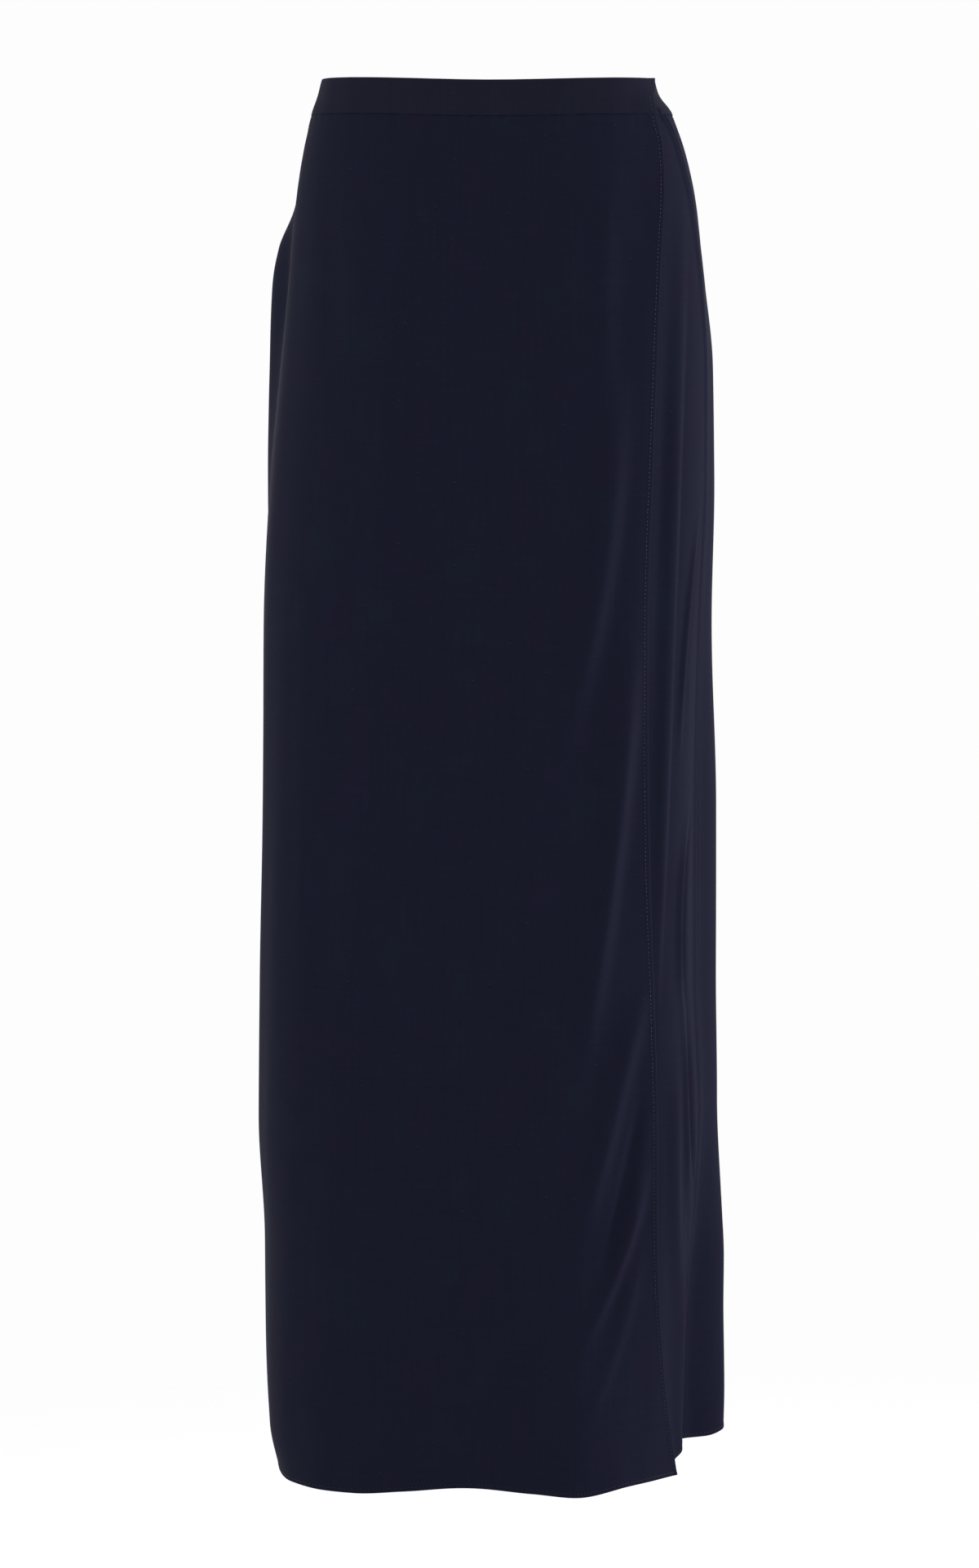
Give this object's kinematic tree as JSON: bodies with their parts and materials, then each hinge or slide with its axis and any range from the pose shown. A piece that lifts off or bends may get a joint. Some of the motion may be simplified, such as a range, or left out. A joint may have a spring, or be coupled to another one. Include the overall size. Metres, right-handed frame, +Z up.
{
  "type": "wrap skirt",
  "caption": "Long straight wrap skirt in navy crepe with a narrow plain waistband, an overlapping front panel and soft folds, in its worn hollow shape.",
  "frame": {"origin": "centre of the waist, at mid-height of the waistband", "axes": "+Z up, the front faces -Y, +X toward the side where the overlap ends, the wearer's left"},
  "size_m": [0.3485, 0.2811, 1.026],
  "materials": {
    "crepe": "soft matte",
    "band": "soft matte"
  },
  "bodies": {
    "root": {"front_overlap": "crepe", "front_underlap": "crepe", "back_panel": "crepe", "waistband": "band"}
  },
  "joints": []
}
